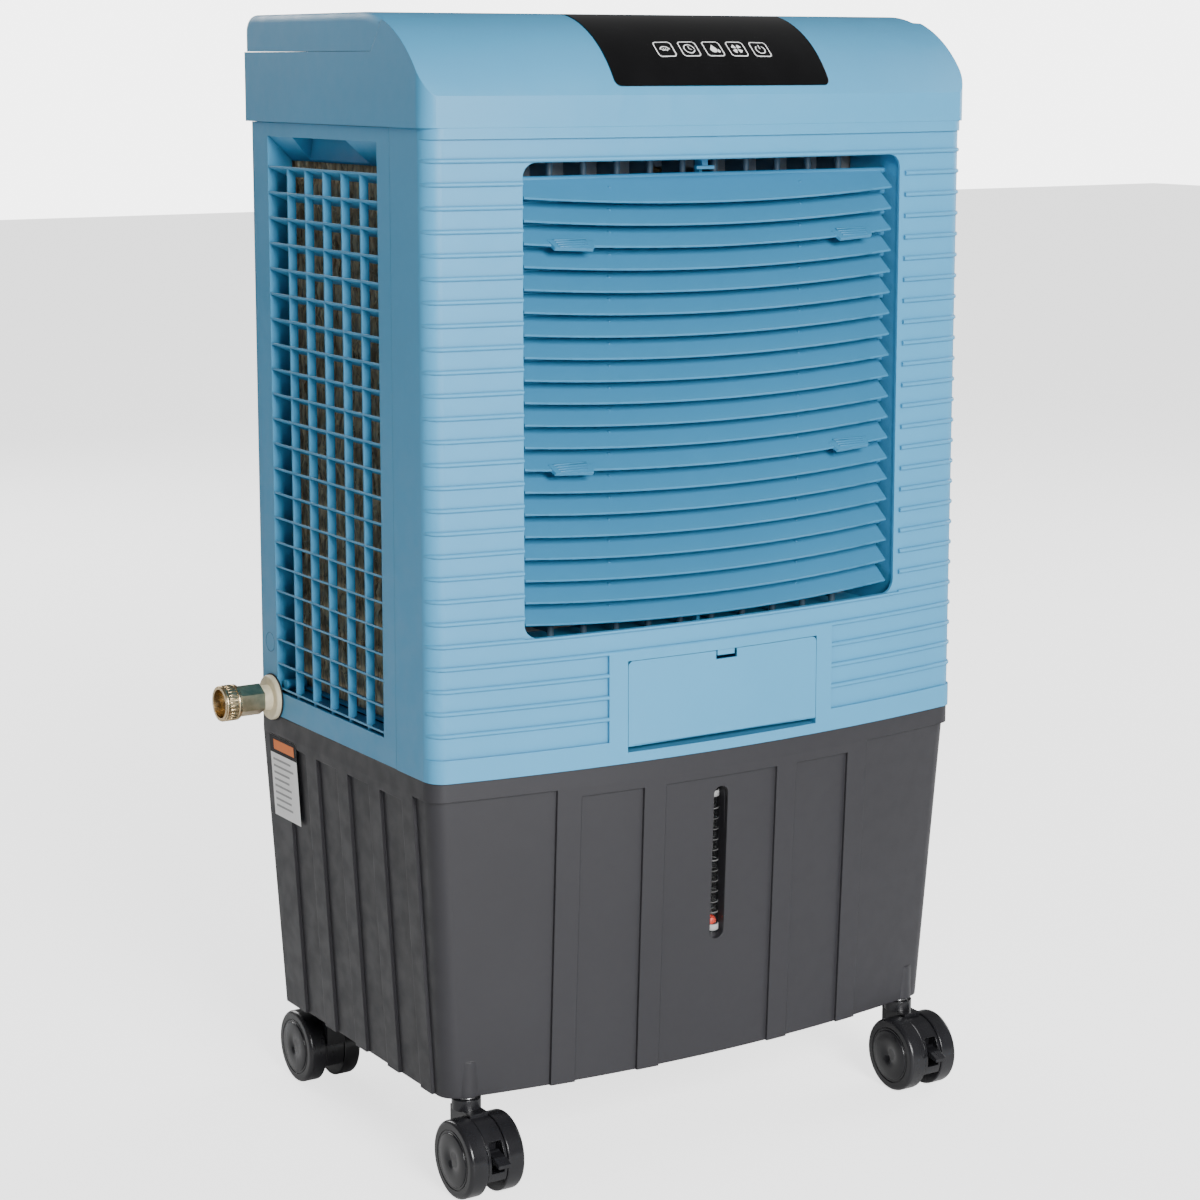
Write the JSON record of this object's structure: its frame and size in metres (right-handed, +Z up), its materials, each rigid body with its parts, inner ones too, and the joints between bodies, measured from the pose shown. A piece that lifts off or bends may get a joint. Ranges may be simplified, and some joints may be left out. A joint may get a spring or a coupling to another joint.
{
  "type": "evaporative air cooler",
  "caption": "Upright wheeled evaporative cooler: bowed ribbed front with tilting louvers, egg-crate pad grilles, water tank base with level gauge, lift-up lid and hose inlet.",
  "frame": {"origin": "on the floor, on the body's middle plane, as far behind the front corners as ahead of the rear wall", "axes": "+Z up, +Y to the back, front with the louvers facing -Y, hose inlet towards -X"},
  "size_m": [0.6123, 0.398, 1],
  "materials": {
    "blue_housing": "fine texture",
    "blue_louver": "satin",
    "slate_blue_deflector": "satin",
    "charcoal_tank": "fine texture",
    "clear_tube": "polished",
    "red_float": "gloss",
    "gloss_black_panel": "gloss",
    "aspen_pad": "shredded wood fibre",
    "grey_plastic": "satin",
    "motor_steel": "satin",
    "black_plastic": "satin",
    "cream_plastic": "satin",
    "brass": "turned",
    "float_plastic": "satin",
    "caster_black": "gloss"
  },
  "bodies": {
    "cooler_body": {"tank": "charcoal_tank", "level_tube": "clear_tube", "front_housing": "blue_housing", "left_grille_panel": "blue_housing", "right_grille_panel": "blue_housing", "back_grille_panel": "blue_housing", "evaporative_pads": "aspen_pad", "top_housing": "blue_housing", "control_panel": "gloss_black_panel", "fan_shroud": "grey_plastic", "fan_motor": "motor_steel", "water_pump": "black_plastic", "water_distributor": "grey_plastic", "hose_inlet": "cream_plastic"},
    "level_float": {"level_float": "red_float"},
    "storage_door": {"storage_door": "blue_housing"},
    "top_lid": {"top_lid": "blue_housing"},
    "fan_blades": {"fan_blades": "grey_plastic"},
    "hose_swivel": {"hose_swivel": "brass"},
    "float_arm": {"float_arm": "float_plastic"},
    "louver_vane_01": {"louver_vane_01": "blue_louver"},
    "louver_vane_02": {"louver_vane_02": "blue_louver"},
    "louver_vane_03": {"louver_vane_03": "blue_louver"},
    "louver_vane_04": {"louver_vane_04": "blue_louver"},
    "louver_vane_05": {"louver_vane_05": "blue_louver"},
    "louver_vane_06": {"louver_vane_06": "blue_louver"},
    "louver_vane_07": {"louver_vane_07": "blue_louver"},
    "louver_vane_08": {"louver_vane_08": "blue_louver"},
    "louver_vane_09": {"louver_vane_09": "blue_louver"},
    "louver_vane_10": {"louver_vane_10": "blue_louver"},
    "louver_vane_11": {"louver_vane_11": "blue_louver"},
    "louver_vane_12": {"louver_vane_12": "blue_louver"},
    "louver_vane_13": {"louver_vane_13": "blue_louver"},
    "louver_vane_14": {"louver_vane_14": "blue_louver"},
    "louver_vane_15": {"louver_vane_15": "blue_louver"},
    "louver_vane_16": {"louver_vane_16": "blue_louver"},
    "louver_vane_17": {"louver_vane_17": "blue_louver"},
    "louver_vane_18": {"louver_vane_18": "blue_louver"},
    "louver_vane_19": {"louver_vane_19": "blue_louver"},
    "louver_vane_20": {"louver_vane_20": "blue_louver"},
    "air_deflector_01": {"air_deflector_01": "slate_blue_deflector"},
    "air_deflector_02": {"air_deflector_02": "slate_blue_deflector"},
    "air_deflector_03": {"air_deflector_03": "slate_blue_deflector"},
    "air_deflector_04": {"air_deflector_04": "slate_blue_deflector"},
    "air_deflector_05": {"air_deflector_05": "slate_blue_deflector"},
    "air_deflector_06": {"air_deflector_06": "slate_blue_deflector"},
    "air_deflector_07": {"air_deflector_07": "slate_blue_deflector"},
    "air_deflector_08": {"air_deflector_08": "slate_blue_deflector"},
    "air_deflector_09": {"air_deflector_09": "slate_blue_deflector"},
    "air_deflector_10": {"air_deflector_10": "slate_blue_deflector"},
    "caster_front_left": {"caster_front_left": "caster_black"},
    "wheels_front_left": {"wheels_front_left": "caster_black"},
    "caster_front_right": {"caster_front_right": "caster_black"},
    "wheels_front_right": {"wheels_front_right": "caster_black"},
    "caster_rear_left": {"caster_rear_left": "caster_black"},
    "wheels_rear_left": {"wheels_rear_left": "caster_black"},
    "caster_rear_right": {"caster_rear_right": "caster_black"},
    "wheels_rear_right": {"wheels_rear_right": "caster_black"},
    "brake_front_left": {"brake_front_left": "caster_black"},
    "brake_front_right": {"brake_front_right": "caster_black"}
  },
  "joints": [
    {"name": "lid_hinge", "type": "hinge", "parent": "cooler_body", "child": "top_lid", "pos_m": [0, 0.172, 0.972], "axis": [-1, 0, 0], "range_deg": [0, 90]},
    {"name": "storage_door_hinge", "type": "hinge", "parent": "cooler_body", "child": "storage_door", "pos_m": [0, -0.1855, 0.3808], "axis": [1, 0, 0], "range_deg": [0, 80]},
    {"name": "level_float_slide", "type": "slide", "parent": "cooler_body", "child": "level_float", "axis": [0, 0, 1], "range_m": [0, 0.112]},
    {"name": "fan_spin", "type": "hinge", "parent": "cooler_body", "child": "fan_blades", "pos_m": [0, -0.06, 0.68], "axis": [0, 1, 0], "continuous": true},
    {"name": "hose_swivel_spin", "type": "hinge", "parent": "cooler_body", "child": "hose_swivel", "pos_m": [-0.324, 0.1395, 0.381], "axis": [-1, 0, 0], "continuous": true},
    {"name": "float_arm_hinge", "type": "hinge", "parent": "cooler_body", "child": "float_arm", "pos_m": [-0.2315, 0.1395, 0.371], "axis": [0, -1, 0], "range_deg": [0, 30]},
    {"name": "louver_tilt_01", "type": "hinge", "parent": "cooler_body", "child": "louver_vane_01", "pos_m": [0, -0.15, 0.8632], "axis": [1, 0, 0], "range_deg": [-45, 18]},
    {"name": "louver_tilt_02", "type": "hinge", "parent": "cooler_body", "child": "louver_vane_02", "pos_m": [0, -0.15, 0.84443], "axis": [1, 0, 0], "range_deg": [-45, 18]},
    {"name": "louver_tilt_03", "type": "hinge", "parent": "cooler_body", "child": "louver_vane_03", "pos_m": [0, -0.15, 0.82566], "axis": [1, 0, 0], "range_deg": [-45, 18]},
    {"name": "louver_tilt_04", "type": "hinge", "parent": "cooler_body", "child": "louver_vane_04", "pos_m": [0, -0.15, 0.80689], "axis": [1, 0, 0], "range_deg": [-45, 18]},
    {"name": "louver_tilt_05", "type": "hinge", "parent": "cooler_body", "child": "louver_vane_05", "pos_m": [0, -0.15, 0.78812], "axis": [1, 0, 0], "range_deg": [-45, 18]},
    {"name": "louver_tilt_06", "type": "hinge", "parent": "cooler_body", "child": "louver_vane_06", "pos_m": [0, -0.15, 0.76935], "axis": [1, 0, 0], "range_deg": [-45, 18]},
    {"name": "louver_tilt_07", "type": "hinge", "parent": "cooler_body", "child": "louver_vane_07", "pos_m": [0, -0.15, 0.75058], "axis": [1, 0, 0], "range_deg": [-45, 18]},
    {"name": "louver_tilt_08", "type": "hinge", "parent": "cooler_body", "child": "louver_vane_08", "pos_m": [0, -0.15, 0.73181], "axis": [1, 0, 0], "range_deg": [-45, 18]},
    {"name": "louver_tilt_09", "type": "hinge", "parent": "cooler_body", "child": "louver_vane_09", "pos_m": [0, -0.15, 0.71304], "axis": [1, 0, 0], "range_deg": [-45, 18]},
    {"name": "louver_tilt_10", "type": "hinge", "parent": "cooler_body", "child": "louver_vane_10", "pos_m": [0, -0.15, 0.69427], "axis": [1, 0, 0], "range_deg": [-45, 18]},
    {"name": "louver_tilt_11", "type": "hinge", "parent": "cooler_body", "child": "louver_vane_11", "pos_m": [0, -0.15, 0.6755], "axis": [1, 0, 0], "range_deg": [-18, 30]},
    {"name": "louver_tilt_12", "type": "hinge", "parent": "cooler_body", "child": "louver_vane_12", "pos_m": [0, -0.15, 0.65673], "axis": [1, 0, 0], "range_deg": [-18, 30]},
    {"name": "louver_tilt_13", "type": "hinge", "parent": "cooler_body", "child": "louver_vane_13", "pos_m": [0, -0.15, 0.63796], "axis": [1, 0, 0], "range_deg": [-18, 30]},
    {"name": "louver_tilt_14", "type": "hinge", "parent": "cooler_body", "child": "louver_vane_14", "pos_m": [0, -0.15, 0.61919], "axis": [1, 0, 0], "range_deg": [-18, 30]},
    {"name": "louver_tilt_15", "type": "hinge", "parent": "cooler_body", "child": "louver_vane_15", "pos_m": [0, -0.15, 0.60042], "axis": [1, 0, 0], "range_deg": [-18, 30]},
    {"name": "louver_tilt_16", "type": "hinge", "parent": "cooler_body", "child": "louver_vane_16", "pos_m": [0, -0.15, 0.58165], "axis": [1, 0, 0], "range_deg": [-18, 30]},
    {"name": "louver_tilt_17", "type": "hinge", "parent": "cooler_body", "child": "louver_vane_17", "pos_m": [0, -0.15, 0.56288], "axis": [1, 0, 0], "range_deg": [-18, 30]},
    {"name": "louver_tilt_18", "type": "hinge", "parent": "cooler_body", "child": "louver_vane_18", "pos_m": [0, -0.15, 0.54411], "axis": [1, 0, 0], "range_deg": [-18, 30]},
    {"name": "louver_tilt_19", "type": "hinge", "parent": "cooler_body", "child": "louver_vane_19", "pos_m": [0, -0.15, 0.52534], "axis": [1, 0, 0], "range_deg": [-18, 30]},
    {"name": "louver_tilt_20", "type": "hinge", "parent": "cooler_body", "child": "louver_vane_20", "pos_m": [0, -0.15, 0.50657], "axis": [1, 0, 0], "range_deg": [-18, 30]},
    {"name": "deflector_swing_01", "type": "hinge", "parent": "cooler_body", "child": "air_deflector_01", "pos_m": [-0.1503, -0.1425, 0.68], "axis": [0, 0, 1], "range_deg": [-35, 35]},
    {"name": "deflector_swing_02", "type": "hinge", "parent": "cooler_body", "child": "air_deflector_02", "pos_m": [-0.1169, -0.1425, 0.68], "axis": [0, 0, 1], "range_deg": [-35, 35]},
    {"name": "deflector_swing_03", "type": "hinge", "parent": "cooler_body", "child": "air_deflector_03", "pos_m": [-0.0835, -0.1425, 0.68], "axis": [0, 0, 1], "range_deg": [-35, 35]},
    {"name": "deflector_swing_04", "type": "hinge", "parent": "cooler_body", "child": "air_deflector_04", "pos_m": [-0.0501, -0.1425, 0.68], "axis": [0, 0, 1], "range_deg": [-35, 35]},
    {"name": "deflector_swing_05", "type": "hinge", "parent": "cooler_body", "child": "air_deflector_05", "pos_m": [-0.0167, -0.1425, 0.68], "axis": [0, 0, 1], "range_deg": [-35, 35]},
    {"name": "deflector_swing_06", "type": "hinge", "parent": "cooler_body", "child": "air_deflector_06", "pos_m": [0.0167, -0.1425, 0.68], "axis": [0, 0, 1], "range_deg": [-35, 35]},
    {"name": "deflector_swing_07", "type": "hinge", "parent": "cooler_body", "child": "air_deflector_07", "pos_m": [0.0501, -0.1425, 0.68], "axis": [0, 0, 1], "range_deg": [-35, 35]},
    {"name": "deflector_swing_08", "type": "hinge", "parent": "cooler_body", "child": "air_deflector_08", "pos_m": [0.0835, -0.1425, 0.68], "axis": [0, 0, 1], "range_deg": [-35, 35]},
    {"name": "deflector_swing_09", "type": "hinge", "parent": "cooler_body", "child": "air_deflector_09", "pos_m": [0.1169, -0.1425, 0.68], "axis": [0, 0, 1], "range_deg": [-35, 35]},
    {"name": "deflector_swing_10", "type": "hinge", "parent": "cooler_body", "child": "air_deflector_10", "pos_m": [0.1503, -0.1425, 0.68], "axis": [0, 0, 1], "range_deg": [-35, 35]},
    {"name": "swivel_front_left", "type": "hinge", "parent": "cooler_body", "child": "caster_front_left", "pos_m": [-0.236, -0.142, 0.09], "axis": [0, 0, 1], "continuous": true},
    {"name": "roll_front_left", "type": "hinge", "parent": "caster_front_left", "child": "wheels_front_left", "pos_m": [-0.236, -0.164, 0.034], "axis": [1, 0, 0], "continuous": true},
    {"name": "brake_front_left_press", "type": "hinge", "parent": "caster_front_left", "child": "brake_front_left", "pos_m": [-0.236, -0.187, 0.042], "axis": [1, 0, 0], "range_deg": [0, 14]},
    {"name": "swivel_front_right", "type": "hinge", "parent": "cooler_body", "child": "caster_front_right", "pos_m": [0.236, -0.142, 0.09], "axis": [0, 0, 1], "continuous": true},
    {"name": "roll_front_right", "type": "hinge", "parent": "caster_front_right", "child": "wheels_front_right", "pos_m": [0.236, -0.164, 0.034], "axis": [1, 0, 0], "continuous": true},
    {"name": "brake_front_right_press", "type": "hinge", "parent": "caster_front_right", "child": "brake_front_right", "pos_m": [0.236, -0.187, 0.042], "axis": [1, 0, 0], "range_deg": [0, 14]},
    {"name": "swivel_rear_left", "type": "hinge", "parent": "cooler_body", "child": "caster_rear_left", "pos_m": [-0.228, 0.134, 0.09], "axis": [0, 0, 1], "continuous": true},
    {"name": "roll_rear_left", "type": "hinge", "parent": "caster_rear_left", "child": "wheels_rear_left", "pos_m": [-0.228, 0.156, 0.034], "axis": [1, 0, 0], "continuous": true},
    {"name": "swivel_rear_right", "type": "hinge", "parent": "cooler_body", "child": "caster_rear_right", "pos_m": [0.228, 0.134, 0.09], "axis": [0, 0, 1], "continuous": true},
    {"name": "roll_rear_right", "type": "hinge", "parent": "caster_rear_right", "child": "wheels_rear_right", "pos_m": [0.228, 0.156, 0.034], "axis": [1, 0, 0], "continuous": true}
  ],
  "couplings": [
    {"joint": "louver_tilt_01", "follows": "louver_tilt_03", "ratio": 1},
    {"joint": "louver_tilt_02", "follows": "louver_tilt_03", "ratio": 1},
    {"joint": "louver_tilt_04", "follows": "louver_tilt_03", "ratio": 1},
    {"joint": "louver_tilt_05", "follows": "louver_tilt_03", "ratio": 1},
    {"joint": "louver_tilt_06", "follows": "louver_tilt_03", "ratio": 1},
    {"joint": "louver_tilt_07", "follows": "louver_tilt_03", "ratio": 1},
    {"joint": "louver_tilt_08", "follows": "louver_tilt_03", "ratio": 1},
    {"joint": "louver_tilt_09", "follows": "louver_tilt_03", "ratio": 1},
    {"joint": "louver_tilt_10", "follows": "louver_tilt_03", "ratio": 1},
    {"joint": "louver_tilt_11", "follows": "louver_tilt_13", "ratio": 1},
    {"joint": "louver_tilt_12", "follows": "louver_tilt_13", "ratio": 1},
    {"joint": "louver_tilt_14", "follows": "louver_tilt_13", "ratio": 1},
    {"joint": "louver_tilt_15", "follows": "louver_tilt_13", "ratio": 1},
    {"joint": "louver_tilt_16", "follows": "louver_tilt_13", "ratio": 1},
    {"joint": "louver_tilt_17", "follows": "louver_tilt_13", "ratio": 1},
    {"joint": "louver_tilt_18", "follows": "louver_tilt_13", "ratio": 1},
    {"joint": "louver_tilt_19", "follows": "louver_tilt_13", "ratio": 1},
    {"joint": "louver_tilt_20", "follows": "louver_tilt_13", "ratio": 1},
    {"joint": "deflector_swing_02", "follows": "deflector_swing_01", "ratio": 1},
    {"joint": "deflector_swing_03", "follows": "deflector_swing_01", "ratio": 1},
    {"joint": "deflector_swing_04", "follows": "deflector_swing_01", "ratio": 1},
    {"joint": "deflector_swing_05", "follows": "deflector_swing_01", "ratio": 1},
    {"joint": "deflector_swing_06", "follows": "deflector_swing_01", "ratio": 1},
    {"joint": "deflector_swing_07", "follows": "deflector_swing_01", "ratio": 1},
    {"joint": "deflector_swing_08", "follows": "deflector_swing_01", "ratio": 1},
    {"joint": "deflector_swing_09", "follows": "deflector_swing_01", "ratio": 1},
    {"joint": "deflector_swing_10", "follows": "deflector_swing_01", "ratio": 1}
  ]
}
